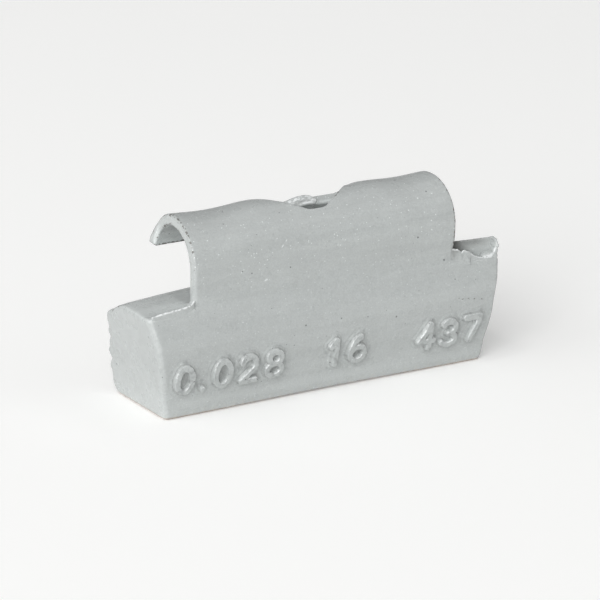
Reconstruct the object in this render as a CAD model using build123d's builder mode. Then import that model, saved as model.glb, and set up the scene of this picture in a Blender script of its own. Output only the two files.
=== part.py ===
from build123d import *
import os
from math import cos, radians, sin, sqrt, tan

# Wheel balance weight: a lead casting poured round the leg of a spring-steel clip.
# X runs along the weight, -Y is its front face, +Z is up. It stands on the base of the casting.

# Casting, in millimetres
body_top_length = 32.8
body_base_length = 29.6
body_depth = 10.2
body_height = 9.45
ledge_crown_radius = 172.0
crease_height = 5.4
crease_radius = 5.6
foot_setback = 1.55
lip_setback = 1.2
back_lean = 1.9
back_top_radius = 4.2
back_foot_radius = 1.0
end_edge_radius = 0.45
rim_radius = 0.3

# Clip, in millimetres and degrees
strip_width = 24.2
sheet_thickness = 0.9
hook_inner_radius = 2.8
hook_rise = 2.45
hook_wrap = 173.0
tip_corner_radius = 0.3
lip_skin = 0.15
leg_depth = 6.0
leg_corner_radius = 1.0
lock_hole_diameter = 3.2
lock_hole_pitch = 8.0
lock_hole_count = 3
lock_hole_height = 2.8

# Window at the top of the bend and the tongue in it, in millimetres and degrees from the back
window_width = 10.5
window_nose_width = 1.4
window_nose_radius = 1.0
window_rear_radius = 1.1
window_front_angle = 125.5
window_shoulder_angle = 63.0
window_rear_angle = 40.0
tongue_width = 1.7
tongue_offset = 0.6
tongue_outer_radius = 1.7
tongue_end_angle = 138.0
tongue_corner_radius = 0.45

# Places that both pieces share
front_y = -body_depth / 2
back_y = body_depth / 2
lip_y = front_y + lip_setback
clip_face_y = lip_y + lip_skin
hook_outer_radius = hook_inner_radius + sheet_thickness
hook_y = clip_face_y + hook_outer_radius
hook_z = body_height + hook_rise
hook_axis = (hook_y, hook_z)
tip_angle = 180.0 - hook_wrap
leg_end_z = body_height - leg_depth
stock_top = body_height + rim_radius
ledge_end_z = body_height - ledge_crown_radius + sqrt(ledge_crown_radius**2 - (body_top_length / 2) ** 2)


def around(centre, radius, angle):
    """Point of the clip's section at a radius and angle about a centre."""
    return (centre[0] + radius * cos(radians(angle)), centre[1] + radius * sin(radians(angle)))


# The tongue leaves the window's rear edge in line with the sheet and curls in more tightly than the hook
tongue_inner_radius = tongue_outer_radius - sheet_thickness
tongue_centre = around(hook_axis, hook_outer_radius - tongue_outer_radius, window_rear_angle)
tongue_tip = around(tongue_centre, tongue_outer_radius - sheet_thickness / 2, tongue_end_angle)

# The window's walls stand square to the bent sheet, so its outline spreads with distance from the hook's axis
window_axis_angle = (window_front_angle + window_rear_angle) / 2
window_plane = Plane(
    origin=(0, *hook_axis),
    x_dir=(1, 0, 0),
    z_dir=(0, cos(radians(window_axis_angle)), sin(radians(window_axis_angle))),
)
window_near = 0.5 * hook_inner_radius
window_far = 1.2 * hook_outer_radius


def window_outline(distance):
    """Corners of the right half of the window, nose first, on a plane at a distance from the hook's axis."""
    nose = distance * tan(radians(window_axis_angle - window_front_angle))
    shoulder = distance * tan(radians(window_axis_angle - window_shoulder_angle))
    rear = distance * tan(radians(window_axis_angle - window_rear_angle))
    return [
        (window_nose_width / 2, nose),
        (window_width / 2, shoulder),
        (window_width / 2, rear),
    ]


# Clip: one strip with a cast-in leg, a front wall and a hook bent over the rim's edge
with BuildPart() as clip:
    with BuildSketch(Plane.YZ):
        with BuildLine():
            inner_y = clip_face_y + sheet_thickness
            Line((clip_face_y, leg_end_z), (clip_face_y, hook_z))
            CenterArc(hook_axis, hook_outer_radius, 180, -hook_wrap)
            Line(around(hook_axis, hook_outer_radius, tip_angle), around(hook_axis, hook_inner_radius, tip_angle))
            CenterArc(hook_axis, hook_inner_radius, tip_angle, hook_wrap)
            Line((inner_y, hook_z), (inner_y, leg_end_z))
            Line((inner_y, leg_end_z), (clip_face_y, leg_end_z))
        make_face()
    extrude(amount=strip_width / 2, both=True)
    leg_corners = clip.edges().filter_by(Axis.Y).group_by(Axis.Z)[0]
    fillet(leg_corners, leg_corner_radius)
    tip_face = clip.faces().filter_by(GeomType.PLANE).sort_by(Axis.Y)[-1]
    tip_corners = tip_face.edges().group_by(SortBy.LENGTH)[0]
    fillet(tip_corners, tip_corner_radius)
    with BuildSketch(Plane.XZ.offset(-clip_face_y)):
        with Locations((0, leg_end_z + lock_hole_height)):
            with GridLocations(lock_hole_pitch, lock_hole_pitch, lock_hole_count, 1):
                Circle(lock_hole_diameter / 2)
    extrude(amount=-sheet_thickness, mode=Mode.SUBTRACT)
    for distance in (window_near, window_far):
        with BuildSketch(window_plane.offset(distance)) as outline:
            right = window_outline(distance)
            left = [(-x, y) for x, y in reversed(right)]
            Polygon(*right, *left, align=None)
            spread = distance / hook_outer_radius
            fillet(outline.vertices().group_by(Axis.Y)[0], window_nose_radius * spread)
            fillet(outline.vertices().group_by(Axis.Y)[-1], window_rear_radius * spread)
    loft(ruled=True, mode=Mode.SUBTRACT)
    with BuildSketch(Plane.YZ.offset(tongue_offset)):
        with BuildLine():
            sweep_angle = tongue_end_angle - window_rear_angle
            top = CenterArc(tongue_centre, tongue_outer_radius, window_rear_angle, sweep_angle)
            under = CenterArc(tongue_centre, tongue_inner_radius, window_rear_angle, sweep_angle)
            Line(top @ 0, under @ 0)
            Line(top @ 1, under @ 1)
        make_face()
    extrude(amount=tongue_width / 2, both=True)
    tongue_end = clip.faces().sort_by_distance((tongue_offset, *tongue_tip))[0]
    fillet(tongue_end.edges().filter_by(Axis.X, reverse=True), tongue_corner_radius)
clip.part.label = "clip"

# Casting: a bar with a creased front, cut to its tapered and crowned outline and poured round the clip's leg
with BuildPart() as weight_body:
    with BuildSketch(Plane.YZ) as section:
        foot = (front_y + foot_setback, 0)
        crease = (front_y, crease_height)
        lip = (lip_y, body_height)
        ledge_back = (back_y - back_lean, body_height)
        back_foot = (back_y, 0)
        with BuildLine():
            Line(foot, crease)
            Spline(crease, lip, tangents=[(0, 1), (0, 1)])
            Line(lip, (lip_y, stock_top))
            back_wall = Line(back_foot, ledge_back)
            stock_back = back_wall @ (stock_top / body_height)
            Line(ledge_back, stock_back)
            Line((lip_y, stock_top), stock_back)
            Line(back_foot, foot)
        make_face()
        fillet(section.vertices().sort_by_distance(crease)[0], crease_radius)
        fillet(section.vertices().sort_by_distance(back_foot)[0], back_foot_radius)
    extrude(amount=body_top_length, both=True)
    with BuildSketch(Plane.XZ):
        with BuildLine():
            base_half = body_base_length / 2
            top_half = body_top_length / 2
            Polyline((-top_half, ledge_end_z), (-base_half, 0), (base_half, 0), (top_half, ledge_end_z))
            ThreePointArc((top_half, ledge_end_z), (0, body_height), (-top_half, ledge_end_z))
        make_face()
    extrude(amount=body_depth, both=True, mode=Mode.INTERSECT)
    fillet(weight_body.edges().sort_by_distance((0, *ledge_back))[0], back_top_radius)
    end_faces = weight_body.faces().filter_by(GeomType.PLANE).sort_by(Axis.X)
    for end_face in (end_faces[0], end_faces[-1]):
        front_edges = end_face.edges().filter_by_position(Axis.Y, front_y, foot[0])
        fillet(front_edges, end_edge_radius)
    rim = weight_body.edges().sort_by_distance((0, *lip))[0]
    fillet(rim, rim_radius)
    add(clip.part, mode=Mode.SUBTRACT)
weight_body.part.label = "weight_body"

os.makedirs("parts", exist_ok=True)
export_step(weight_body.part, "parts/weight_body.step")
export_step(clip.part, "parts/clip.step")
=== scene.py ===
"""Wheel balance weight: a grey-painted lead casting with a spring-steel clip cast into it.

The paint runs over casting and clip as one coat, so both pieces are cut from one skin that is fused from the
CAD solids, softened as paint softens edges, and then given the marks that casting and handling left on it, with
painted highlights, painted shade and painted light among them.
Shapes are worked in millimetres in the CAD frame and set in metres at the end.
"""

import logging
import math
from contextlib import contextmanager
from dataclasses import dataclass, field
from enum import Enum
from typing import Any, Iterator, Sequence

import bmesh
import bpy
import numpy as np
from mathutils import Matrix, Vector, noise
from mathutils.bvhtree import BVHTree


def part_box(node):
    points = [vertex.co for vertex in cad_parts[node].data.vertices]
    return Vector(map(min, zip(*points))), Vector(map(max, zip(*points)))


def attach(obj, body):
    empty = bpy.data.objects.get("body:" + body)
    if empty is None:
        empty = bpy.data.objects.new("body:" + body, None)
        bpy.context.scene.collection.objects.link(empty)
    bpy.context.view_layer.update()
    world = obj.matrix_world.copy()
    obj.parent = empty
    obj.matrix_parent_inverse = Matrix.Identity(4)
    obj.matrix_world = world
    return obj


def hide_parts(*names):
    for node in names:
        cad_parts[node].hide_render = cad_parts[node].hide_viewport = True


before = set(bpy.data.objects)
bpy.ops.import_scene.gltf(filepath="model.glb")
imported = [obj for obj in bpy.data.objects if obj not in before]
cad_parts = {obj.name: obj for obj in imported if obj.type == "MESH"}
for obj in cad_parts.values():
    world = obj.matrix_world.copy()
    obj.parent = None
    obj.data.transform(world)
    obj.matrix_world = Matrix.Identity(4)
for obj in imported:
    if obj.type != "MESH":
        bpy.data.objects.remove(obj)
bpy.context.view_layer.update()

MM = 0.001
ROOT = "root"
PLAIN = "plain"
log = logging.getLogger("balance_weight")

Span = tuple[float, float]
Point = tuple[float, float, float]
Ramp = tuple[float, float, float, float]


class Node(Enum):
    """The CAD solids that this scene dresses."""

    CASTING = "weight_body"
    CLIP = "clip"


class Slot(Enum):
    """The record's paint slots."""

    CASTING = "casting_paint"
    CLIP = "clip_paint"


class Mark(Enum):
    """Vertex attributes: EDGE helps to place the others, and the paint reads those."""

    EDGE = "near_edge"
    # Chips, and painted shade along the left end's upper edge
    CHIPS_AND_SHADE = "chips_and_shade"
    # Painted highlights on lips, rims, edges and the tongue's crown
    HIGHLIGHT = "painted_highlight"
    ROUGH = "rough_cast"
    # Painted shade in recesses
    THIN = "painted_shade"
    THICK = "thick_paint"
    # Painted light on shaded places
    PAINTED_LIGHT = "painted_light"


class Pattern(Enum):
    """The paint's uneven patterns: their grain in millimetres along X, Y and Z, and their detail.

    Real pigment grain is a few hundredths of a millimetre, too fine to show, so GRAIN is drawn coarser.
    """

    TONE = ((3.0, 3.0, 3.0), 2.0)
    STREAK = ((12.0, 0.6, 0.6), 2.0)
    WAVE = ((12.0, 0.6, 0.6), 1.0)
    PEEL = ((0.8, 0.8, 0.8), 1.0)
    SATIN = ((1.1, 1.1, 1.1), 2.0)
    GRIME = ((0.4, 0.4, 0.4), 2.0)
    CAST = ((0.35, 0.35, 0.35), 2.0)
    HIGHLIGHT_BREAKS = ((0.3, 0.3, 0.3), 2.0)
    CHIP = ((0.26, 0.26, 0.26), 2.0)
    GRAIN = ((0.13, 0.13, 0.13), 2.0)


def linear(colour: str) -> tuple[float, float, float, float]:
    """Turn an sRGB hex colour into linear light.

    Args:
        colour: Six hex digits with a leading hash.

    Returns:
        Red, green, blue and a full alpha.
    """
    channels = (int(colour[i : i + 2], 16) / 255 for i in (1, 3, 5))
    light = [c / 12.92 if c <= 0.04045 else ((c + 0.055) / 1.055) ** 2.4 for c in channels]
    return (*light, 1.0)


def add_node(
    tree: bpy.types.NodeTree,
    kind: str,
    settings: dict[str, Any] | None = None,
    inputs: dict[str | int, Any] | Sequence[Any] = (),
) -> bpy.types.Node:
    """Add a shader node with its settings and links.

    Args:
        tree: The node tree that gets the node.
        kind: The node's type name.
        settings: Values for the node's own properties.
        inputs: What each input gets, by name or number or else in order: a value, the socket that feeds it, or
            a node whose first enabled output does.

    Returns:
        The new node.
    """
    node = tree.nodes.new(kind)
    for name, value in (settings or {}).items():
        setattr(node, name, value)
    given = inputs if isinstance(inputs, dict) else dict(enumerate(inputs))
    for name, value in given.items():
        if isinstance(value, bpy.types.Node):
            value = next(socket for socket in value.outputs if socket.enabled)
        if isinstance(value, bpy.types.NodeSocket):
            tree.links.new(value, node.inputs[name])
        else:
            node.inputs[name].default_value = value
    return node


def step(low: float, high: float, value: np.ndarray) -> np.ndarray:
    """Rise smoothly from 0 at low to 1 at high, or fall where low is the larger."""
    t = np.clip((value - low) / (high - low), 0.0, 1.0)
    return t * t * (3.0 - 2.0 * t)


def hill(value: np.ndarray, centre: float, reach: float) -> np.ndarray:
    """A smooth hill of height 1 at centre that is gone at reach on both sides."""
    return step(reach, 0.0, np.abs(value - centre))


def lumps(points: np.ndarray, size: Sequence[float], seed: float) -> np.ndarray:
    """Smooth random lumps, between about -1 and 1, at each point.

    Args:
        points: Points in millimetres.
        size: The lumps' size in millimetres along X, Y and Z.
        seed: Shifts the pattern, so that two uses differ.

    Returns:
        One height for each point.
    """
    spread = points / np.asarray(size) + seed
    return np.array([noise.noise(Vector(p)) for p in spread])


def along_path(path: Sequence[Span], across: np.ndarray, height: np.ndarray) -> np.ndarray:
    """How far each place is, up or down, from a path over a face.

    Args:
        path: The path's corners, each a place across the face and a height.
        across: Each place's position across the face.
        height: Each place's height.

    Returns:
        One distance for each place, a large one past the path's ends.
    """
    far_below = -9.0
    places, heights = np.array(path).T
    return np.abs(height - np.interp(across, places, heights, left=far_below, right=far_below))


def modified(
    mesh: bpy.types.Mesh, kind: str, settings: dict[str, Any], group: Sequence[int] = ()
) -> bpy.types.Mesh:
    """Run one modifier over a mesh, which is used up.

    Args:
        mesh: The mesh.
        kind: The modifier's type name.
        settings: Values for the modifier's properties.
        group: The points of the vertex group PLAIN, if the modifier needs it.

    Returns:
        The new mesh, under the old one's name.
    """
    name = mesh.name
    carrier = bpy.data.objects.new(name, mesh)
    bpy.context.scene.collection.objects.link(carrier)
    if len(group):
        carrier.vertex_groups.new(name=PLAIN).add(list(group), 1.0, "REPLACE")
    modifier = carrier.modifiers.new(kind.lower(), kind)
    for key, value in settings.items():
        setattr(modifier, key, value)
    seen = carrier.evaluated_get(bpy.context.evaluated_depsgraph_get())
    made = bpy.data.meshes.new_from_object(seen)
    bpy.data.objects.remove(carrier)
    bpy.data.meshes.remove(mesh)
    made.name = name
    return made


@dataclass
class Skin:
    """A closed painted surface, with its points in millimetres."""

    mesh: bpy.types.Mesh

    def points(self) -> np.ndarray:
        """Read where the mesh's points are.

        Returns:
            X, Y and Z of each point, one row each.
        """
        flat = np.empty(len(self.mesh.vertices) * 3, np.float32)
        self.mesh.vertices.foreach_get("co", flat)
        return flat.reshape(-1, 3).astype(float)

    def normals(self) -> np.ndarray:
        """Read which way the surface faces at each point.

        Returns:
            The outward direction at each point, one row each.
        """
        flat = np.empty(len(self.mesh.vertices) * 3, np.float32)
        self.mesh.vertex_normals.foreach_get("vector", flat)
        return flat.reshape(-1, 3).astype(float)

    def place(self, points: np.ndarray) -> None:
        """Move the mesh's points to new places."""
        self.mesh.vertices.foreach_set("co", points.astype(np.float32).ravel())
        self.mesh.update()

    def mark(self, name: Mark, values: np.ndarray) -> None:
        """Store one number for each point, for the paint to read."""
        layer = self.mesh.attributes.get(name.value) or self.mesh.attributes.new(name.value, "FLOAT", "POINT")
        layer.data.foreach_set("value", np.clip(values, 0.0, 1.0).astype(np.float32))

    def marked(self, name: Mark) -> np.ndarray:
        """Read the numbers of a mark.

        Args:
            name: The mark.

        Returns:
            One number for each point.
        """
        values = np.empty(len(self.mesh.vertices), np.float32)
        self.mesh.attributes[name.value].data.foreach_get("value", values)
        return values.astype(float)

    @contextmanager
    def opened(self) -> Iterator[bmesh.types.BMesh]:
        """Open the mesh for bmesh operators, and store what they made of it.

        Yields:
            The mesh as a bmesh.
        """
        bm = bmesh.new()
        bm.from_mesh(self.mesh)
        yield bm
        bm.to_mesh(self.mesh)
        bm.free()

    def join(self, other: "Skin") -> None:
        """Take in another skin, whose mesh is used up.

        Args:
            other: The other skin.
        """
        with self.opened() as bm:
            bm.from_mesh(other.mesh)
        bpy.data.meshes.remove(other.mesh)

    def relax(self, where: np.ndarray, rounds: int) -> None:
        """Even out part of the surface, as paint flows over it.

        Args:
            where: True for each point that takes part.
            rounds: How many times each point moves halfway to its neighbours' middle.
        """
        with self.opened() as bm:
            bm.verts.ensure_lookup_table()
            chosen = [bm.verts[i] for i in np.flatnonzero(where)]
            for _ in range(rounds):
                bmesh.ops.smooth_vert(
                    bm, verts=chosen, factor=0.5, use_axis_x=True, use_axis_y=True, use_axis_z=True
                )

    def thin(self, limit: int, kept: np.ndarray) -> None:
        """Collapse the mesh's plain stretches until few enough triangles are left.

        Args:
            limit: How many triangles may stay.
            kept: True for each point whose surroundings stay as they are.
        """
        triangles = sum(len(face.vertices) - 2 for face in self.mesh.polygons)
        settings = {"ratio": limit / triangles, "vertex_group": PLAIN}
        self.mesh = modified(self.mesh, "DECIMATE", settings, np.flatnonzero(~kept).tolist())
        with self.opened() as bm:
            bm.verts.layers.deform.remove(bm.verts.layers.deform.verify())


def fuse(bm: bmesh.types.BMesh, cell: float, rounds: int) -> Skin:
    """Melt overlapping closed shapes into one skin.

    Args:
        bm: The shapes, which are freed.
        cell: The size of the new mesh's cells in millimetres.
        rounds: How often the new skin is evened out.

    Returns:
        The skin.
    """
    loose = bpy.data.meshes.new("fused")
    bm.to_mesh(loose)
    bm.free()
    skin = Skin(modified(loose, "REMESH", {"mode": "VOXEL", "voxel_size": cell}))
    skin.relax(np.ones(len(skin.mesh.vertices), bool), rounds)
    return skin


@dataclass(frozen=True)
class Bead:
    """A bead of lead that ran along an edge: round bars between its points, with ball joints."""

    points: tuple[Point, ...]
    radius: float

    def add(self, bm: bmesh.types.BMesh) -> None:
        """Add the bead's closed shapes, which the fusing melts together.

        Args:
            bm: Takes the shapes.
        """
        path = [Vector(p) for p in self.points]
        for place in path:
            bmesh.ops.create_icosphere(bm, subdivisions=2, radius=self.radius, matrix=Matrix.Translation(place))
        for start, end in zip(path[:-1], path[1:]):
            run = end - start
            turn = run.to_track_quat("Z", "Y").to_matrix().to_4x4()
            bmesh.ops.create_cone(
                bm,
                cap_ends=True,
                segments=16,
                radius1=self.radius,
                radius2=self.radius,
                depth=run.length,
                matrix=Matrix.Translation((start + end) / 2) @ turn,
            )


@dataclass(frozen=True)
class Fin:
    """A thin wall of lead along a path: it stands on a wider foot and tapers to its top."""

    top: tuple[Point, ...]
    foot: float
    thickness: float
    front_spread: float
    rear_spread: float

    def add(self, bm: bmesh.types.BMesh) -> None:
        """Add one closed wedge for each stretch of the fin, which the fusing melts together.

        Args:
            bm: Takes the wedges.
        """
        for stretch in zip(self.top[:-1], self.top[1:]):
            corners = []
            for x, y, z in stretch:
                rear = y + self.thickness
                corners += [(x, y, z), (x, rear, z - self.thickness / 2)]
                corners += [(x, y - self.front_spread, self.foot), (x, rear + self.rear_spread, self.foot)]
            hull = bmesh.ops.convex_hull(bm, input=[bm.verts.new(c) for c in corners])
            spare = [v for v in hull["geom_interior"] if isinstance(v, bmesh.types.BMVert)]
            bmesh.ops.delete(bm, geom=spare, context="VERTS")


@dataclass(frozen=True)
class Flash:
    """Thin lead that ran out of the mould and was torn: its shapes, melted together and left ragged."""

    shapes: tuple[Bead | Fin, ...]
    ragged: float
    top: float
    # How strongly a highlight is painted along the lip
    highlight_and_wear: float
    cell: float = 0.064
    rounds: int = 2
    swell: float = 0.35
    lump: float = 0.32
    fine_lump: float = 0.14
    fine_lump_share: float = 0.6
    tear: float = 0.3
    fine_tear: float = 0.13
    fine_tear_share: float = 0.5
    tear_reach: float = 0.9
    lip_start: Span = (-0.1, 0.2)
    lip_end: Span = (0.1, 0.0)
    lip_inset: float = 0.03
    lip_width: Span = (0.2, 0.08)

    def build(self) -> Skin:
        """Fuse the shapes and roughen them, most of all along their upper edge.

        Returns:
            The flash's skin, in millimetres.
        """
        bm = bmesh.new()
        for shape in self.shapes:
            shape.add(bm)
        skin = fuse(bm, self.cell, self.rounds)
        p, n = skin.points(), skin.normals()
        rough = lumps(p, (self.lump,) * 3, seed=3.1)
        rough += self.fine_lump_share * lumps(p, (self.fine_lump,) * 3, seed=8.7)
        p += n * (self.swell * self.ragged * rough)[:, None]
        line = p * (1, 0, 0)
        torn = lumps(line, (self.tear, 1, 1), seed=5.3)
        torn += self.fine_tear_share * lumps(line, (self.fine_tear, 1, 1), seed=1.9)
        p[:, 2] += self.ragged * torn * step(self.top - self.tear_reach, self.top, p[:, 2])
        skin.place(p)
        return skin

    def lip(self, points: np.ndarray) -> np.ndarray:
        """Find the flash's front lip, where a highlight is painted.

        Args:
            points: The skin's points.

        Returns:
            How near each point is to the lip.
        """
        x, y, z = points.T
        lip_x, lip_y, lip_z = np.array(self.shapes[0].top).T
        along = step(*self.lip_start, x - lip_x[0]) * step(*self.lip_end, x - lip_x[-1])
        behind = y - np.interp(x, lip_x, lip_y) - self.lip_inset
        above = z - np.interp(x, lip_x, lip_z)
        return self.highlight_and_wear * along * step(*self.lip_width, np.hypot(behind, above))


# A tight lip along the left ledge's front edge
LEFT_FLASH = Flash(
    shapes=(
        Fin(
            top=(
                (-16.05, -3.95, 8.93),
                (-14.6, -3.96, 9.08),
                (-13.1, -3.94, 9.2),
                (-12.6, -3.9, 9.3),
                (-12.35, -3.84, 9.42),
                (-12.1, -3.76, 9.6),
            ),
            foot=8.0,
            thickness=0.2,
            front_spread=0.1,
            rear_spread=0.3,
        ),
    ),
    ragged=0.05,
    top=9.2,
    highlight_and_wear=1.0,
)

# The stub of the pouring gate on the right ledge: a torn front lip with a curl at its end
GATE_LIP = Flash(
    shapes=(
        Fin(
            top=(
                (11.3, -3.4, 9.9),
                (11.95, -3.6, 9.98),
                (12.45, -3.7, 9.9),
                (12.7, -3.76, 9.62),
                (12.95, -3.8, 9.8),
                (13.45, -3.86, 9.6),
                (13.8, -3.9, 9.3),
                (14.3, -3.9, 9.06),
                (14.9, -3.9, 8.92),
                (15.45, -3.9, 8.88),
                (15.75, -3.9, 9.04),
                (15.95, -3.9, 9.45),
                (16.15, -3.9, 9.7),
            ),
            foot=8.2,
            thickness=0.2,
            front_spread=0.0,
            rear_spread=0.25,
        ),
        Bead(((16.12, -3.2, 10.16), (16.16, -3.55, 10.05), (16.18, -3.86, 9.62)), radius=0.14),
        Bead(((16.05, -3.1, 9.8), (16.1, -3.7, 9.6)), radius=0.2),
        Bead(((16.05, -3.1, 9.4), (16.08, -3.72, 9.25)), radius=0.22),
        Bead(((16.05, -3.1, 9.0), (16.06, -3.72, 8.85)), radius=0.22),
        Bead(((15.1, -3.45, 8.75), (15.6, -3.4, 8.85)), radius=0.42),
        Fin(
            top=(
                (11.2, -3.35, 9.6),
                (11.95, -3.6, 9.8),
                (12.5, -3.73, 9.6),
                (13.0, -3.8, 9.5),
                (13.5, -3.88, 9.3),
            ),
            foot=8.5,
            thickness=0.2,
            front_spread=0.22,
            rear_spread=0.2,
        ),
    ),
    ragged=0.09,
    top=10.0,
    highlight_and_wear=0.75,
)

# The gate's smooth crest behind its lip
GATE_CREST = Flash(
    shapes=(
        Fin(
            top=(
                (11.9, -2.3, 10.22),
                (13.0, -2.5, 10.2),
                (14.0, -2.7, 10.22),
                (15.0, -2.92, 10.26),
                (15.7, -3.08, 10.28),
                (16.15, -3.2, 10.32),
            ),
            foot=8.4,
            thickness=0.2,
            front_spread=0.35,
            rear_spread=0.8,
        ),
    ),
    ragged=0.02,
    top=10.0,
    highlight_and_wear=0.15,
)


@dataclass(frozen=True)
class Push:
    """A place where pouring, bending or a knock moved the surface."""

    centre: Point
    reach: Point
    shift: Point

    def field(self, points: np.ndarray) -> np.ndarray:
        """How far each point moves, in full at the centre and not at all past the reach."""
        away = np.linalg.norm((points - self.centre) / self.reach, axis=1)
        return step(1.0, 0.0, away)[:, None] * np.asarray(self.shift)


@dataclass
class FusedBlank:
    """Casting and clip as one closed skin, before it is cut into the two pieces."""

    pushes: tuple[Push, ...] = (
        # Saddles along the clip's ridge
        Push((-8.5, -0.05, 15.6), (4.6, 6.0, 4.0), (0.0, 0.0, -0.23)),
        Push((9.3, -0.05, 15.6), (3.4, 6.0, 4.0), (0.0, 0.0, -0.14)),
        # The hook's rear is flatter than a true round, and its tip stands out
        Push((-12.1, 2.57, 14.52), (10.0, 2.6, 2.6), (0.0, -0.2, -0.2)),
        Push((-12.1, 3.5, 12.4), (14.0, 1.2, 1.3), (0.0, 0.2, -0.04)),
        # The tongue is bent in a little further
        Push((0.3, 1.6, 14.9), (2.2, 1.3, 0.8), (0.0, 0.0, -0.2)),
        Push((0.6, 0.3, 14.3), (1.3, 0.7, 0.6), (0.0, 0.1, 0.12)),
        Push((-0.4, 1.9, 14.7), (1.3, 1.7, 1.0), (0.0, 0.0, -0.4)),
        Push((0.6, 1.2, 14.7), (2.2, 1.7, 1.2), (0.4, 0.0, -0.1)),
        # The window's right shoulder is rounded over
        Push((4.5, 1.2, 15.3), (1.2, 2.0, 1.0), (0.0, 0.0, -0.14)),
        # The clip's right edge
        Push((12.1, -2.5, 13.0), (1.0, 4.0, 4.5), (0.13, 0.0, 0.0)),
        # The left ledge falls to its front edge
        Push((-14.6, -2.9, 9.0), (3.4, 1.9, 0.9), (0.0, 0.0, -0.18)),
        # The front foot bows up between the corners
        Push((0.0, -3.6, 0.0), (14.0, 3.2, 1.6), (0.0, 0.0, 0.14)),
        # Flash and nicks down the back edge of the left end
        Push((-16.0, 3.4, 7.2), (0.9, 1.8, 1.4), (-0.1, 0.5, 0.1)),
        Push((-15.8, 4.1, 5.1), (0.8, 1.0, 0.5), (0.08, -0.16, 0.0)),
        Push((-15.5, 4.35, 3.8), (0.7, 0.9, 0.45), (-0.08, 0.14, 0.0)),
        Push((-15.4, 4.45, 3.1), (0.7, 0.9, 0.35), (0.05, -0.12, 0.0)),
        Push((-15.2, 4.6, 2.4), (0.7, 0.9, 0.5), (-0.06, 0.12, 0.0)),
        # The right end is pinched at the crease and spread at the foot
        Push((16.1, -4.2, 5.5), (1.6, 3.0, 3.4), (-0.28, 0.0, 0.0)),
        Push((15.0, -3.4, 0.8), (1.2, 1.5, 1.8), (0.08, 0.0, 0.0)),
    )
    weld: float = 0.001
    cell: float = 0.15
    soften_rounds: int = 5
    cut_height: float = 10.6
    cut_snap: float = 0.02
    # Edges that the fusing rounded off
    joint_z: float = 9.55
    joint_reach: float = 0.5
    joint_gap: float = 0.8
    crispness: float = 0.85
    lost_edge: float = 0.02
    full_edge: float = 0.07
    # The waist above the joint
    waist_reach: float = 1.5
    waist_rounds: int = 90
    waist_depth: float = 0.12
    waist_rise: float = 0.35
    wall_margin: float = 0.5
    wall_back: Span = (2.2, 1.4)
    wall_end: float = 0.8
    clip_end_margin: float = 0.35
    # The left end's upper edge, and the clip's left edge above the ledge
    left_end_x: float = -15.5
    left_end_front: float = -3.1
    left_end_low: float = 5.8
    left_end_rounds: int = 40
    clip_edge_x: Span = (-12.5, -11.6)
    clip_edge_back: float = -2.2
    clip_edge_z: Span = (9.6, 12.4)
    clip_edge_rounds: int = 8
    # The front face below the crease
    face_setback: float = 0.2
    face_front: Span = (-1.5, -2.5)
    face_foot: Span = (0.4, 1.8)
    face_crease: Span = (7.4, 5.0)

    def build(self) -> Skin:
        """Fuse copies of the CAD solids and let the paint flow over the joint.

        Returns:
            The fused skin.
        """
        bm = bmesh.new()
        trees = {}
        for node in Node:
            copy = bmesh.new()
            copy.from_mesh(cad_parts[node.value].data)
            bmesh.ops.scale(copy, vec=(1 / MM,) * 3, verts=copy.verts)
            bmesh.ops.remove_doubles(copy, verts=copy.verts, dist=self.weld)
            trees[node] = BVHTree.FromBMesh(copy)
            merged = bpy.data.meshes.new(node.value)
            copy.to_mesh(merged)
            copy.free()
            bm.from_mesh(merged)
            bpy.data.meshes.remove(merged)
        skin = fuse(bm, self.cell, self.soften_rounds)
        self.crisp(skin, trees)
        self.flow(skin)
        self.settle(skin)
        return skin

    def true_place(self, place: Vector, trees: dict[Node, BVHTree]) -> tuple[Vector, float]:
        """Find where a point of the skin lies on the CAD solids.

        Args:
            place: The point.
            trees: The CAD solids' surfaces in millimetres.

        Returns:
            The nearest place on its solid, and how far the point goes there, which is not at all at the joint.
        """
        node = Node.CLIP if place.z > self.joint_z else Node.CASTING
        weight = abs(place.z - self.joint_z) / self.joint_reach - self.joint_gap
        near = trees[node].find_nearest(place)[0]
        return near, self.crispness * min(max(weight, 0.0), 1.0)

    def crisp(self, skin: Skin, trees: dict[Node, BVHTree]) -> None:
        """Bring the edges back that the fusing rounded too far, on a finer mesh along them.

        Args:
            skin: The fused skin.
            trees: The CAD solids' surfaces in millimetres.
        """
        with skin.opened() as bm:
            lost = set()
            for v in bm.verts:
                near, weight = self.true_place(v.co, trees)
                if weight > 0.0 and (near - v.co).length > self.lost_edge:
                    lost.add(v)
                    lost.update(e.other_vert(v) for e in v.link_edges)
            edges = [e for e in bm.edges if e.verts[0] in lost and e.verts[1] in lost]
            bmesh.ops.subdivide_edges(bm, edges=edges, cuts=1, use_grid_fill=True)
            edge_layer = bm.verts.layers.float.new(Mark.EDGE.value)
            for v in bm.verts:
                near, weight = self.true_place(v.co, trees)
                v[edge_layer] = min((near - v.co).length * weight / self.full_edge, 1.0)
                v.co = v.co.lerp(near, weight)

    def flow(self, skin: Skin) -> None:
        """Blend the casting's front into the clip's wall, with the slight waist above the joint.

        Args:
            skin: The fused skin.
        """
        low, high = (np.array(v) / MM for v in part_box(Node.CLIP.value))
        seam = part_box(Node.CASTING.value)[1].z / MM
        p = skin.points()
        inside = np.abs(p[:, 0]) < high[0] - self.clip_end_margin
        front = p[:, 1] < low[1] + self.wall_margin
        skin.relax(inside & front & (np.abs(p[:, 2] - seam) < self.waist_reach), self.waist_rounds)
        p = skin.points()
        wall = step(*self.wall_back, p[:, 1] - low[1]) * step(self.wall_end, 0.0, np.abs(p[:, 0]) - high[0])
        p[:, 1] += self.waist_depth * wall * hill(p[:, 2], seam + self.waist_rise, self.waist_reach)
        skin.place(p)

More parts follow.
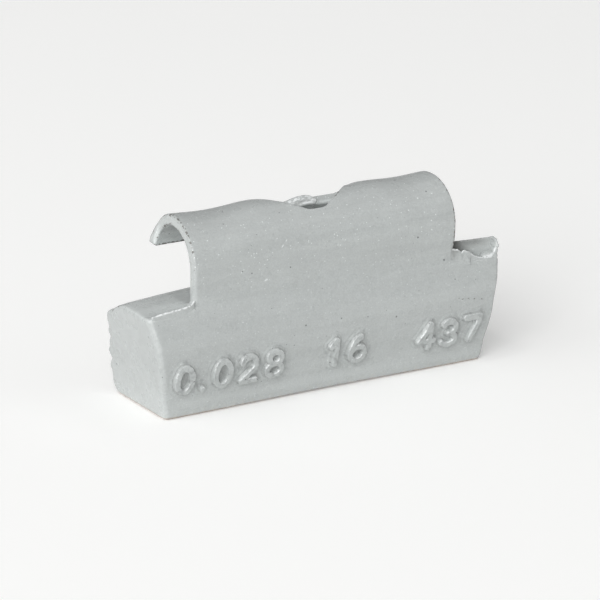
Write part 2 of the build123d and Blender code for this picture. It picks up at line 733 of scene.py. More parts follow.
    def settle(self, skin: Skin) -> None:
        """Round the left end's upper edge, set the lower face back and move what was pushed.

        Args:
            skin: The fused skin.
        """
        x, y, z = skin.points().T
        skin.relax((x < self.left_end_x) & (y > self.left_end_front) & (z > self.left_end_low), self.left_end_rounds)
        x, y, z = skin.points().T
        beside = (x > self.clip_edge_x[0]) & (x < self.clip_edge_x[1]) & (y < self.clip_edge_back)
        skin.relax(beside & (z > self.clip_edge_z[0]) & (z < self.clip_edge_z[1]), self.clip_edge_rounds)
        p = skin.points()
        face = step(*self.face_front, p[:, 1]) * step(*self.face_foot, p[:, 2]) * step(*self.face_crease, p[:, 2])
        p[:, 1] += self.face_setback * face
        p += sum(push.field(p) for push in self.pushes)
        skin.place(p)

    def half(self, skin: Skin, name: str, upper: bool) -> Skin:
        """Cut the skin through the clip's wall and close the cut.

        Args:
            skin: The fused skin, which stays as it is.
            name: The new mesh's name.
            upper: Keep what is above the cut, or else what is below.

        Returns:
            The half that is kept.
        """
        kept = Skin(skin.mesh.copy())
        kept.mesh.name = name
        with kept.opened() as bm:
            cutting = bmesh.ops.bisect_plane(
                bm,
                geom=[*bm.verts, *bm.edges, *bm.faces],
                dist=self.cut_snap,
                plane_co=(0, 0, self.cut_height),
                plane_no=(0, 0, 1),
                use_snap_center=True,
                clear_inner=upper,
                clear_outer=not upper,
            )
            rim = [e for e in cutting["geom_cut"] if isinstance(e, bmesh.types.BMEdge) and e.is_boundary]
            bmesh.ops.holes_fill(bm, edges=rim)
            for edge in rim:
                edge.smooth = False
        return kept


def arc(centre: Span, radii: Span, start: float, end: float, parts: int = 20) -> list[Span]:
    """Points on a stretch of an ellipse.

    Args:
        centre: The ellipse's middle.
        radii: Its half width and half height.
        start: The angle in degrees where the stretch starts.
        end: The angle where it ends.
        parts: How many chords follow the stretch.

    Returns:
        The points, from start to end.
    """
    turns = np.radians(np.linspace(start, end, parts + 1))
    return [(centre[0] + radii[0] * math.cos(t), centre[1] + radii[1] * math.sin(t)) for t in turns]


# Each numeral's strokes, along the middle of a cutter's path, in a cell one wide and one high
NUMERALS: dict[str, tuple[list[Span], ...]] = {
    "0": (arc((0.5, 0.5), (0.5, 0.5), 0, 360),),
    "1": ([(0.1, 0.78), (0.62, 1.0), (0.62, 0.0)],),
    "2": ([*arc((0.5, 0.7), (0.46, 0.3), 165, -35), (0.04, 0.0), (1.0, 0.0)],),
    "3": (arc((0.44, 0.74), (0.44, 0.26), 150, -90), arc((0.44, 0.24), (0.52, 0.24), 90, -150)),
    "4": ([(0.72, 0.0), (0.72, 1.0), (0.0, 0.32), (1.0, 0.32)],),
    "6": (arc((0.5, 0.3), (0.5, 0.3), 0, 360), arc((0.85, 0.3), (0.85, 0.7), 102, 180)),
    "7": ([(0.0, 1.0), (1.0, 1.0), (0.38, 0.0)],),
    "8": (arc((0.5, 0.77), (0.41, 0.23), 0, 360), arc((0.5, 0.27), (0.5, 0.27), 0, 360)),
    ".": ([(0.0, 0.0), (0.02, 0.0)],),
}
NARROW = {".": 0.05, "1": 0.7}


@dataclass
class NumeralRow:
    """A row of raised plain numerals on the casting's lower face."""

    text: str
    start: float
    base: float
    cap: float = 2.05
    width: float = 1.35
    pitch_gap: float = 1.0
    stroke: float = 0.5
    slope: float = 0.12
    relief: float = 0.36
    plinth: float = 0.07
    plinth_reach: Span = (0.3, 0.12)
    rough_reach: Span = (1.1, 0.25)
    rim_width: float = 0.09
    hollow_margin: float = 0.12
    foot_offset: float = 0.08
    foot_width: float = 0.11
    foot_shade: float = 0.6

    def strokes(self) -> list[np.ndarray]:
        """Lay the numerals out in their row.

        Returns:
            Each stroke's path along the face, as X and Z in millimetres.
        """
        paths = []
        x = self.start
        for sign in self.text:
            wide = self.width * NARROW.get(sign, 1.0)
            for stroke in NUMERALS[sign]:
                paths.append(np.array(stroke) * (wide, self.cap) + (x, self.base))
            x += wide + self.pitch_gap
        return paths

    def distance(self, x: np.ndarray, z: np.ndarray) -> np.ndarray:
        """Measure how far places on the face are from the strokes.

        Args:
            x: Each place's X.
            z: Each place's Z.

        Returns:
            The distance to the middle of the nearest stroke.
        """
        here = np.stack([x, z], axis=1)
        best = np.full(len(x), np.inf)
        for path in self.strokes():
            for a, b in zip(path[:-1], path[1:]):
                run = b - a
                t = np.clip(((here - a) @ run) / max(run @ run, 1e-9), 0.0, 1.0)
                best = np.minimum(best, np.linalg.norm(here - a - t[:, None] * run, axis=1))
        return best

    def hollows(self, x: np.ndarray, z: np.ndarray) -> np.ndarray:
        """Find the places on the face that a numeral's ring encloses.

        Args:
            x: Each place's X.
            z: Each place's Z.

        Returns:
            True for each place inside a ring.
        """
        inside = np.zeros(len(x), bool)
        for path in self.strokes():
            low, high = path.min(axis=0), path.max(axis=0)
            if np.allclose(path[0], path[-1], atol=1e-3) and high[0] - low[0] > self.stroke:
                (cx, cz), (rx, rz) = (low + high) / 2, (high - low) / 2
                inside |= ((x - cx) / rx) ** 2 + ((z - cz) / rz) ** 2 < 1.0
        return inside

    def lift(self, d: np.ndarray) -> np.ndarray:
        """Work out how high the row stands off the face.

        Args:
            d: Each place's distance from the strokes.

        Returns:
            The height at each place.
        """
        side, half = self.stroke / 2, self.slope / 2
        plinth = self.plinth * step(side + self.plinth_reach[0], side + self.plinth_reach[1], d)
        return self.relief * step(side + half, side - half, d) + plinth

    def grime_and_shade(self, x: np.ndarray, z: np.ndarray, d: np.ndarray) -> np.ndarray:
        """Find where shade is painted: in the rings and along the strokes' feet.

        Args:
            x: Each place's X.
            z: Each place's Z.
            d: Each place's distance from the strokes.

        Returns:
            How much painted shade lies at each place.
        """
        side = self.stroke / 2
        floor = self.hollows(x, z) * step(side, side + self.hollow_margin, d)
        foot = self.foot_shade * hill(d, side + self.foot_offset, self.foot_width)
        return np.maximum(floor, foot)


@dataclass(frozen=True)
class GateSlot:
    """The slot between the gate's lip and its crest, darkened by painted shade."""

    front: Span = (-3.85, -3.45)
    back: Span = (-1.4, -1.9)
    clip_end: Span = (11.7, 12.1)
    floor: Span = (8.3, 8.6)
    far_end: Span = (14.6, 12.3)
    top: Span = (10.55, 10.1)
    crest_share: float = 0.5
    crest_end: Span = (16.4, 14.5)
    crest_foot: Span = (9.4, 10.0)

    def slot_shade(self, points: np.ndarray) -> np.ndarray:
        """Find how much painted shade darkens the slot and its crest.

        Args:
            points: The casting's points.

        Returns:
            A share for each point.
        """
        x, y, z = points.T
        slot = step(*self.front, y) * step(*self.back, y) * step(*self.clip_end, x) * step(*self.floor, z)
        beside = slot * step(*self.far_end, x) * step(*self.top, z)
        crest = self.crest_share * slot * step(*self.crest_end, x) * step(*self.crest_foot, z)
        return np.maximum(beside, crest)


@dataclass
class Casting:
    """The lead body: its ledges, its raised numerals and the marks of a rough mould."""

    rows: tuple[NumeralRow, ...] = (
        NumeralRow("0.028", -14.2, 2.45),
        NumeralRow("16", -0.3, 2.4),
        NumeralRow("437", 8.25, 2.25, pitch_gap=0.85),
    )
    flashes: tuple[Flash, ...] = (LEFT_FLASH, GATE_LIP, GATE_CREST)
    slot: GateSlot = GateSlot()
    # The plain back takes fewer triangles than the front, the left end and the left ledge
    plain_triangles: int = 85000
    plain_front: float = -1.2
    plain_left: float = -14.5
    ledge_right: float = -11.9
    ledge_low: float = 7.5
    seam_margin: float = 0.4
    # The face that carries the numerals
    face_y: float = -3.0
    strip: Span = (1.6, 5.5)
    numeral_band: Span = (0.8, 6.0)
    fine_reaches: tuple[float, ...] = (0.9, 0.44)
    proud_limit: float = -4.85
    # Dark lines: painted shade along the left end's upper edge, in Y and Z, and scuffs on the front, in X and Z
    arch: tuple[Span, ...] = ((-0.5, 9.1), (0.85, 8.6), (2.18, 7.89), (2.75, 7.2))
    arch_end: Span = (-15.2, -15.6)
    arch_width: Span = (0.16, 0.05)
    scuffs: tuple[tuple[Span, ...], ...] = (
        ((12.81, 9.14), (13.2, 9.01), (13.69, 9.06)),
        ((11.7, 6.05), (13.3, 5.78), (14.9, 5.5)),
    )
    scuff_front: Span = (-3.4, -3.7)
    scuff_width: Span = (0.12, 0.04)
    line_share: float = 0.75
    # Chips along the clip's ends, left and right
    end_chips: Span = (0.6, 1.0)
    end_x: Span = (11.6, 11.8)
    end_z: Span = (9.9, 10.1)
    # Painted highlights on the numerals' rims and the front edges, painted light on the left ledge, painted shade in
    # the numerals' hollows and feet, and paint that lies thick
    numeral_highlight: float = 0.9
    highlight_facing: Span = (-0.05, 0.35)
    edge_highlight: float = 0.25
    edge_top: Span = (9.3, 9.0)
    edge_front: Span = (-2.0, -3.0)
    ledge_light: float = 0.5
    ledge_x: Span = (-12.1, -12.5)
    ledge_z: Span = (7.6, 8.4)
    ledge_facing: Span = (0.4, 0.7)
    shade_share: float = 0.3
    thick_from: Span = (0.3, 0.8)

    def build(self, blank: FusedBlank, skin: Skin) -> Skin:
        """Cut the casting's half of the skin, shape it and mark it.

        Args:
            blank: Knows where the skin is cut.
            skin: The fused skin.

        Returns:
            The casting's skin, in millimetres.
        """
        half = blank.half(skin, "painted_casting", upper=False)
        x, y, z = half.points().T
        left = (x < self.plain_left) | ((x < self.ledge_right) & (z > self.ledge_low))
        half.thin(self.plain_triangles, left | (y < self.plain_front) | (z > blank.cut_height - self.seam_margin))
        self.refine(half)
        raised = self.raise_numerals(half)
        for flash in self.flashes:
            half.join(flash.build())
        self.dress(half, raised)
        return half

    def refine(self, half: Skin) -> None:
        """Divide the front face around the numerals, and once more close to their strokes.

        Args:
            half: The casting's skin.
        """
        low, high = self.strip
        with half.opened() as bm:
            for reach in self.fine_reaches:
                face = [v for v in bm.verts if v.co.y < self.face_y and low < v.co.z < high]
                x, z = (np.array([v.co[axis] for v in face]) for axis in (0, 2))
                close = np.min([row.distance(x, z) for row in self.rows], axis=0) < reach
                fine = {v for v, inside in zip(face, close) if inside}
                edges = [e for e in bm.edges if e.verts[0] in fine and e.verts[1] in fine]
                bmesh.ops.subdivide_edges(bm, edges=edges, cuts=1, use_grid_fill=True)

    def raise_numerals(self, half: Skin) -> np.ndarray:
        """Lift the numerals off the face, each on a low plinth, with the shoulders that thick paint gives them.

        Args:
            half: The casting's skin.

        Returns:
            Three rows with a number for each point: the casting's roughness, a numeral's rim and the painted shade in
                its hollows and along its feet.
        """
        p, n = half.points(), half.normals()
        low, high = self.numeral_band
        near = np.flatnonzero((p[:, 1] < self.face_y) & (p[:, 2] > low) & (p[:, 2] < high))
        raised = np.zeros((3, len(p)))
        for row in self.rows:
            d = row.distance(p[near, 0], p[near, 2])
            p[near] += n[near] * row.lift(d)[:, None]
            p[near, 1] = np.maximum(p[near, 1], self.proud_limit)
            rim = hill(d, (row.stroke - row.slope) / 2, row.rim_width)
            grime_and_shade = row.grime_and_shade(p[near, 0], p[near, 2], d)
            raised[:, near] = np.maximum(raised[:, near], (step(*row.rough_reach, d), rim, grime_and_shade))
        half.place(p)
        return raised

    def dress(self, half: Skin, raised: np.ndarray) -> None:
        """Mark the skin for the paint.

        Args:
            half: The casting's skin with its flashes, whose points come last.
            raised: What the numerals left on the points before the flashes.
        """
        p, n = half.points(), half.normals()
        x, y, z = p.T
        flash = np.arange(len(p)) >= raised.shape[1]
        rough, rim, grime_and_shade = np.pad(raised, ((0, 0), (0, np.count_nonzero(flash))))
        edge = half.marked(Mark.EDGE)
        # Painted highlights along the flashes' lips, the numerals' upward-facing rims and the upper front edges
        lip = flash * np.max([f.lip(p) for f in self.flashes], axis=0)
        numerals = self.numeral_highlight * step(*self.highlight_facing, n[:, 2]) * rim
        edges = self.edge_highlight * edge * step(*self.edge_top, z) * step(*self.edge_front, y)
        half.mark(Mark.HIGHLIGHT, np.max([lip, numerals, edges], axis=0))
        # Painted light on the left ledge's top, which faces up
        ledge = step(*self.ledge_x, x) * step(*self.ledge_z, z) * step(*self.ledge_facing, n[:, 2])
        half.mark(Mark.PAINTED_LIGHT, self.ledge_light * ledge)
        ends = np.where(x > 0, self.end_chips[1], self.end_chips[0]) * step(*self.end_x, np.abs(x))
        chips = edge * ends * step(*self.end_z, z)
        # Chips, with the painted shade line along the left end's upper edge and the scuffs
        half.mark(Mark.CHIPS_AND_SHADE, np.maximum(chips, self.line_share * self.dark_lines(p)))
        half.mark(Mark.ROUGH, rough)
        # Painted shade in the gate's slot and in the numerals' hollows and along their feet
        half.mark(Mark.THIN, np.maximum(self.slot.slot_shade(p), self.shade_share * grime_and_shade))
        half.mark(Mark.THICK, np.where(flash, 1.0, step(*self.thick_from, rough)))

    def dark_lines(self, p: np.ndarray) -> np.ndarray:
        """Find the painted shade line along the left end's upper edge and the scuffs on the front face.

        Args:
            p: The casting's points.

        Returns:
            How much of a line reaches each point.
        """
        x, y, z = p.T
        lines = step(*self.arch_end, x) * step(*self.arch_width, along_path(self.arch, y, z))
        for scuff in self.scuffs:
            mark = step(*self.scuff_width, along_path(scuff, x, z)) * step(*self.scuff_front, y)
            lines = np.maximum(lines, mark)
        return lines


@dataclass
class Clip:
    """The spring clip's visible part: the wall, the hook with its window and the curled tongue.

    Angles are in degrees about the hook's axis, from the back.
    """

    hook_radius: float = 3.7
    # The window's slanting right edge: X and angle at both ends
    window_axis: float = 82.75
    window_start: Span = (0.7, 125.5)
    window_end: Span = (5.25, 63.0)
    shoulder_dark_line: float = 1.1
    shoulder_left: Span = (1.6, 2.4)
    shoulder_right: Span = (5.5, 5.1)
    shoulder_width: Span = (0.14, 0.05)
    shoulder_slant: float = 0.75
    shoulder_depth: Span = (-0.25, -0.1)
    steepest: float = 80.0
    # Chips along the ends, more of them on the left near the crown, and along the hook's tip
    right_chips: float = 1.2
    left_chips: float = 0.5
    crown_chips: float = 0.35
    crown_z: Span = (12.6, 13.2)
    end_x: Span = (11.6, 11.8)
    tip_chips: float = 1.2
    tip_z: Span = (12.46, 12.4)
    tip_y: Span = (2.3, 2.5)
    # The tongue's thick paint and the painted highlight on its crown
    tongue_x: float = 0.6
    tongue_reach: float = 1.6
    tongue_front: Span = (-0.6, -0.3)
    tongue_back: Span = (3.0, 2.6)
    tongue_low: Span = (13.7, 13.9)
    tongue_gloss: Span = (0.0, 0.4)
    edge_gloss: float = 0.6
    tongue_highlight: float = 1.5
    tongue_highlight_from: Span = (0.2, 0.5)
    crown_lean: float = -0.25
    crown_spread: float = 0.5
    crown_up: Span = (0.6, 0.8)
    # Painted light on the hook's shaded inside
    inside_radius: Span = (3.2, 3.0)
    inside_turn: Span = (80.0, 60.0)
    inside_y: Span = (1.6, 2.3)

    def build(self, blank: FusedBlank, skin: Skin) -> Skin:
        """Cut the clip's half of the skin and mark it.

        Args:
            blank: Knows where the skin is cut.
            skin: The fused skin.

        Returns:
            The clip's skin, in millimetres.
        """
        half = blank.half(skin, "painted_clip", upper=True)
        self.dress(half)
        return half

    def dress(self, half: Skin) -> None:
        """Mark the skin for the paint.

        Args:
            half: The clip's skin.
        """
        x, y, z = half.points().T
        n, edge = half.normals(), half.marked(Mark.EDGE)
        low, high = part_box(Node.CLIP.value)
        behind, above = y - (low.y / MM + self.hook_radius), z - (high.z / MM - self.hook_radius)
        turn, radius = np.degrees(np.arctan2(above, behind)), np.hypot(behind, above)
        left = self.left_chips + self.crown_chips * step(*self.crown_z, z)
        ends = np.where(x > 0, self.right_chips, left) * step(*self.end_x, np.abs(x))
        tip = self.tip_chips * step(*self.tip_z, z) * step(*self.tip_y, y)
        shoulder = self.shoulder_dark_line * self.shoulder_line(x, turn, radius)
        half.mark(Mark.CHIPS_AND_SHADE, np.max([edge * ends, tip, shoulder], axis=0))
        tongue = hill(x, self.tongue_x, self.tongue_reach) * step(*self.tongue_low, z)
        tongue *= step(*self.tongue_front, y) * step(*self.tongue_back, y)
        half.mark(Mark.THICK, np.maximum(step(*self.tongue_gloss, tongue), self.edge_gloss * edge))
        # Painted highlight on the tongue's crown, where it faces up
        crown = hill(n[:, 1], self.crown_lean, self.crown_spread) * step(*self.crown_up, n[:, 2])
        half.mark(Mark.HIGHLIGHT, self.tongue_highlight * step(*self.tongue_highlight_from, tongue) * crown)
        # Painted light on the hook's shaded inside
        inside = step(*self.inside_radius, radius) * step(*self.inside_turn, turn)
        half.mark(Mark.PAINTED_LIGHT, inside * step(*self.inside_y, y))

    def shoulder_line(self, x: np.ndarray, turn: np.ndarray, radius: np.ndarray) -> np.ndarray:
        """Find a dark line along the window's slanting right shoulder edge.

        Args:
            x: Each point's X.
            turn: Each point's angle.
            radius: Each point's distance from the hook's axis.

        Returns:
            How much of the line reaches each point.
        """
        (x0, turn0), (x1, turn1) = self.window_start, self.window_end
        edge0, edge1 = (math.tan(math.radians(self.window_axis - t)) for t in (turn0, turn1))
        edge = edge0 + (x - x0) / (x1 - x0) * (edge1 - edge0)
        here = np.tan(np.radians(np.clip(self.window_axis - turn, -self.steepest, self.steepest)))
        away = self.shoulder_slant * self.hook_radius * np.abs(here - edge) / (1.0 + here**2)
        outside = step(*self.shoulder_depth, radius - self.hook_radius)
        return step(*self.shoulder_width, away) * outside * step(*self.shoulder_left, x) * step(*self.shoulder_right, x)


SMOOTH = {"interpolation_type": "SMOOTHSTEP"}
MULTIPLY = {"operation": "MULTIPLY"}
MULTIPLY_ADD = {"operation": "MULTIPLY_ADD"}
LARGER = {"operation": "MAXIMUM"}


@dataclass
class Ground:
    """What every layer of the paint reads: the place in millimetres, the uneven patterns and the pieces' marks."""

    tree: bpy.types.NodeTree
    mm: bpy.types.Node = field(init=False)
    along: bpy.types.NodeSocket = field(init=False)
    up: bpy.types.NodeSocket = field(init=False)
    marks: dict[Mark, bpy.types.NodeSocket] = field(init=False)
    patterns: dict[Pattern, bpy.types.Node] = field(init=False)

    def __post_init__(self) -> None:
        """Add the nodes that the layers share."""
        tree = self.tree
        place = add_node(tree, "ShaderNodeTexCoord").outputs["Object"]
        self.mm = add_node(tree, "ShaderNodeVectorMath", {"operation": "SCALE"}, {0: place, "Scale": 1 / MM})
        self.along, _, self.up = add_node(tree, "ShaderNodeSeparateXYZ", None, [self.mm]).outputs
        self.marks = {}
        for mark in Mark:
            if mark is not Mark.EDGE:
                read = add_node(tree, "ShaderNodeAttribute", {"attribute_name": mark.value})
                self.marks[mark] = read.outputs["Fac"]
        self.patterns = {}
        for pattern in Pattern:
            grain, detail = pattern.value
            spread = add_node(tree, "ShaderNodeVectorMath", MULTIPLY, [self.mm, [1 / size for size in grain]])
            settings = {"Vector": spread, "Scale": 1.0, "Detail": detail}
            self.patterns[pattern] = add_node(tree, "ShaderNodeTexNoise", None, settings)


@dataclass(frozen=True)
class Spots:
    """Round specks in the paint: one in each chosen cell, of mixed size."""

    cell: float
    radius: float
    share: float
    smallest: float = 0.4

    def scatter(self, ground: Ground) -> bpy.types.Node:
        """Add the specks' pattern.

        Args:
            ground: What the paint's layers read.

        Returns:
            The node that gives 1 on a speck and 0 beside it.
        """
        tree, most = ground.tree, 1 - self.share
        dots = add_node(tree, "ShaderNodeTexVoronoi", None, {"Vector": ground.mm, "Scale": 1 / self.cell})
        chance = add_node(tree, "ShaderNodeSeparateColor", None, [dots.outputs["Color"]])
        largest = self.radius / self.cell
        sizes = (chance, most, 1.0, self.smallest * largest, largest)
        size = add_node(tree, "ShaderNodeMapRange", SMOOTH, sizes)
        inside = add_node(tree, "ShaderNodeMath", {"operation": "LESS_THAN"}, [dots.outputs["Distance"], size])
        chosen = add_node(tree, "ShaderNodeMath", {"operation": "GREATER_THAN"}, [chance, most])
        return add_node(tree, "ShaderNodeMath", MULTIPLY, [inside, chosen])


@dataclass(frozen=True)
class Dab:
    """A small bright knock in the paint, turned about Y."""

    centre: Point
    reach: Point
    turn: float
    strength: float = 0.6
    fade: Span = (1.0, 0.5)

    def lay(self, ground: Ground) -> bpy.types.Node:
        """Add the dab's pattern.

        Args:
            ground: What the paint's layers read.

        Returns:
            The node that gives the dab's strength at each place.
        """
        turned = (0.0, self.turn, 0.0)
        set_out = {"Vector": ground.mm, "Location": self.centre, "Rotation": turned, "Scale": self.reach}
        local = add_node(ground.tree, "ShaderNodeMapping", {"vector_type": "TEXTURE"}, set_out)
        away = add_node(ground.tree, "ShaderNodeVectorMath", {"operation": "LENGTH"}, [local])
        return add_node(ground.tree, "ShaderNodeMapRange", SMOOTH, [away, *self.fade, 0.0, self.strength])


# Satin enamel, sprayed on lead and steel in one thick coat: it gives the eye a cool grey with a soft, even gloss,
# a slight orange peel, pinholes where the casting gassed, and edges chipped dark. Its colour also carries painted
# light:
# pale grit specks as painted sparkle highlights, painted highlights on lips, rims and edges, painted shade in recesses,
# along the foot and along the left end's upper edge, and painted light on shaded places.
# Real grit and pinholes are mostly under 0.05 mm, which the render can't show, so both are drawn coarser.
@dataclass(frozen=True)
class SatinPaint:
    """Sprayed satin enamel over lead and steel, with what casting and handling left on it, and with painted light and
    shade.
    """

    name: str = "satin_grey_enamel"
    colour: str = "#b4b8b7"
    # Pale for the specks of painted sparkle highlight
    glint_colour: str = "#e4e9e8"
    pinhole_colour: str = "#5f6162"
    # Dark for bare steel at chips and for painted shade along the left end's upper edge
    bare_steel_and_shade: str = "#55524d"
    # Near white for painted highlights and for bright knocks
    highlight_and_knock_colour: str = "#eef1f1"
    # Dark grey-brown for painted shade in recesses
    painted_shade: str = "#474540"
    # Warm brown for painted contact shade along the foot
    contact_shade_colour: str = "#a5866a"
    glint_specks: Spots = Spots(0.24, 0.058, 0.33)
    pinholes: Spots = Spots(0.85, 0.08, 0.5)
    specks: Spots = Spots(0.62, 0.045, 0.4)
    rough_specks: Spots = Spots(0.5, 0.06, 0.5)
    dabs: tuple[Dab, ...] = (
        Dab((-5.62, -3.68, 10.16), (0.2, 0.4, 0.1), -0.3),
        Dab((-4.1, -3.65, 12.7), (0.06, 0.5, 0.2), 0.75),
        Dab((-3.7, -3.6, 13.08), (0.05, 0.5, 0.14), 0.75),
        Dab((-4.5, -3.55, 13.34), (0.05, 0.5, 0.1), 0.75),
        Dab((-8.24, -4.2, 7.31), (0.14, 0.5, 0.1), 0.2),
    )
    # From and to, first of what is read and then of what it gives
    left_end: Ramp = (-15.6, -14.8, 0.3, 1.0)
    tone: Ramp = (0.3, 0.7, 0.985, 1.015)
    streak: Ramp = (0.3, 0.7, 0.975, 1.025)
    fleck: Ramp = (0.25, 0.75, -0.06, 0.06)
    # Painted light: lighter towards the foot
    foot_painted_light: Ramp = (0.3, 4.2, 1.07, 1.0)
    glint_rise: Ramp = (8.5, 12.5, 0.3375, 0.75)
    grime_and_shade: Ramp = (0.45, 0.75, 0.0, 0.35)
    chip: Ramp = (0.76, 0.84, 0.0, 0.85)
    contact_shade: Ramp = (0.28, 0.08, 0.0, 0.6)
    highlight_breaks: Ramp = (0.41, 0.53, 0.15, 1.0)
    painted_light_gain: float = 0.4
    speck_share: float = 0.7
    dark_share: float = 0.85
    chip_gain: float = 0.35
    # Gloss and relief
    satin: Ramp = (0.3, 0.7, 0.25, 0.33)
    wet_gloss: float = 0.18
    relief_depth: float = 0.03
    grain_height: float = 0.3
    wave_height: float = 0.5
    cast_height: float = 1.2

    def material(self) -> bpy.types.Material:
        """The paint as a material.

        Returns:
            The finished material, which reads object coordinates and the pieces' marks.
        """
        made = bpy.data.materials.new(self.name)
        made.use_nodes = True
        tree = made.node_tree
        tree.nodes.clear()
        ground = Ground(tree)
        plain_end = add_node(tree, "ShaderNodeMapRange", SMOOTH, [ground.along, *self.left_end])
        height = {"Height": self.relief(ground), "Distance": self.relief_depth * MM, "Strength": plain_end}
        satin = add_node(tree, "ShaderNodeMapRange", SMOOTH, [ground.patterns[Pattern.SATIN], *self.satin])
        gloss = [ground.marks[Mark.THICK], -self.wet_gloss, satin]
        surface = {
            "Base Color": self.coat(ground, plain_end),
            "Roughness": add_node(tree, "ShaderNodeMath", MULTIPLY_ADD, gloss),
            "Normal": add_node(tree, "ShaderNodeBump", None, height),
        }
        shader = add_node(tree, "ShaderNodeBsdfPrincipled", None, surface)
        add_node(tree, "ShaderNodeOutputMaterial", None, {"Surface": shader})
        return made

    def tint(self, ground: Ground, plain_end: bpy.types.Node) -> bpy.types.Node:
        """Add the grey itself, with its slight drift, its streaks and its grain, and painted light towards the foot and
        on shaded places.

        Args:
            ground: What the paint's layers read.
            plain_end: Falls off on the left end, which is smoother.

        Returns:
            The node that gives the colour.
        """
        tree, patterns = ground.tree, ground.patterns
        fleck = add_node(tree, "ShaderNodeMapRange", SMOOTH, [patterns[Pattern.GRAIN], *self.fleck])
        shades = (
            add_node(tree, "ShaderNodeMapRange", SMOOTH, [patterns[Pattern.TONE], *self.tone]),
            add_node(tree, "ShaderNodeMapRange", SMOOTH, [patterns[Pattern.STREAK], *self.streak]),
            # Painted light: lighter towards the foot
            add_node(tree, "ShaderNodeMapRange", SMOOTH, [ground.up, *self.foot_painted_light]),
            add_node(tree, "ShaderNodeMath", MULTIPLY_ADD, [fleck, plain_end, 1.0]),
            # Painted light on shaded places
            add_node(tree, "ShaderNodeMath", MULTIPLY_ADD, [ground.marks[Mark.PAINTED_LIGHT], self.painted_light_gain, 1.0]),
        )
        grey = linear(self.colour)[:3]
        for shade in shades:
            grey = add_node(tree, "ShaderNodeVectorMath", {"operation": "SCALE"}, {0: grey, "Scale": shade})
        return grey

    def coat(self, ground: Ground, plain_end: bpy.types.Node) -> bpy.types.Node:
        """Lay the coat's layers over the grey, from painted sparkle highlights to painted highlights on edges.

        Args:
            ground: What the paint's layers read.
            plain_end: Falls off on the left end, which is smoother.

        Returns:
            The node that gives the colour.
        """
        tree, marks, patterns = ground.tree, ground.marks, ground.patterns
        rise = add_node(tree, "ShaderNodeMapRange", SMOOTH, [ground.up, *self.glint_rise])
        rise = add_node(tree, "ShaderNodeMath", MULTIPLY, [rise, plain_end])
        grime_and_shade = add_node(tree, "ShaderNodeMapRange", SMOOTH, [patterns[Pattern.GRIME], *self.grime_and_shade])
        chips_and_shade_inputs = [marks[Mark.CHIPS_AND_SHADE], self.chip_gain, patterns[Pattern.CHIP]]
        chips_and_shade_level = add_node(tree, "ShaderNodeMath", MULTIPLY_ADD, chips_and_shade_inputs)
        layers = (
            # Pale specks: painted sparkle highlights, more of them up the wall where the reflection band falls
            (add_node(tree, "ShaderNodeMath", MULTIPLY, [self.glint_specks.scatter(ground), rise]), self.glint_colour),
            (add_node(tree, "ShaderNodeMath", MULTIPLY, [grime_and_shade, marks[Mark.ROUGH]]), self.pinhole_colour),
            (self.dark_specks(ground), self.pinhole_colour),
            # Bare steel at chips, and painted shade along the left end's upper edge
            (add_node(tree, "ShaderNodeMapRange", SMOOTH, [chips_and_shade_level, *self.chip]), self.bare_steel_and_shade),
            # Painted shade in recesses
            (add_node(tree, "ShaderNodeMath", MULTIPLY, [marks[Mark.THIN], self.dark_share]), self.painted_shade),
            # Painted shade: a warm contact shade along the foot
            (add_node(tree, "ShaderNodeMapRange", SMOOTH, [ground.up, *self.contact_shade]), self.contact_shade_colour),
            # Painted highlights, and a few bright knocks
            (self.highlight_and_wear(ground), self.highlight_and_knock_colour),
        )
        coat = self.tint(ground, plain_end)
        for amount, colour in layers:
            coat = add_node(tree, "ShaderNodeMix", {"data_type": "RGBA"}, {0: amount, 6: coat, 7: linear(colour)})
        return coat

    def dark_specks(self, ground: Ground) -> bpy.types.Node:
        """Add the pinholes and dark specks, of which there are more on the rough casting.

        Args:
            ground: What the paint's layers read.

        Returns:
            The node that gives how dark each place is.
        """
        tree, rough_cast = ground.tree, ground.marks[Mark.ROUGH]
        rough = add_node(tree, "ShaderNodeMath", MULTIPLY, [self.rough_specks.scatter(ground), rough_cast])
        fine = add_node(tree, "ShaderNodeMath", MULTIPLY, [self.specks.scatter(ground), self.speck_share])
        specks = add_node(tree, "ShaderNodeMath", LARGER, [rough, fine])
        specks = add_node(tree, "ShaderNodeMath", LARGER, [self.pinholes.scatter(ground), specks])
        return add_node(tree, "ShaderNodeMath", MULTIPLY, [specks, self.dark_share])

    def highlight_and_wear(self, ground: Ground) -> bpy.types.Node:
        """Add the painted highlights on lips, rims, edges and the tongue's crown, and a few bright knocks.

        Args:
            ground: What the paint's layers read.

        Returns:
            The node that gives how bright each place is painted.
        """
        tree = ground.tree
        patchy = add_node(tree, "ShaderNodeMapRange", SMOOTH, [ground.patterns[Pattern.HIGHLIGHT_BREAKS], *self.highlight_breaks])
        bright = add_node(tree, "ShaderNodeMath", MULTIPLY, [ground.marks[Mark.HIGHLIGHT], patchy])
        for dab in self.dabs:
            bright = add_node(tree, "ShaderNodeMath", LARGER, [bright, dab.lay(ground)])
        return bright

    def relief(self, ground: Ground) -> bpy.types.Node:
        """Add the paint's own relief: orange peel, grain, long waves and the rough cast around the numerals.

        Args:
            ground: What the paint's layers read.

        Returns:
            The node that gives the height.
        """
        tree, patterns = ground.tree, ground.patterns
        cast = add_node(tree, "ShaderNodeMath", MULTIPLY, [patterns[Pattern.CAST], ground.marks[Mark.ROUGH]])
        height = patterns[Pattern.PEEL]
        for share, over in (
            (self.grain_height, patterns[Pattern.GRAIN]),
            (self.cast_height, cast),
            (self.wave_height, patterns[Pattern.WAVE]),
        ):
            height = add_node(tree, "ShaderNodeMath", MULTIPLY_ADD, [over, share, height])
        return height


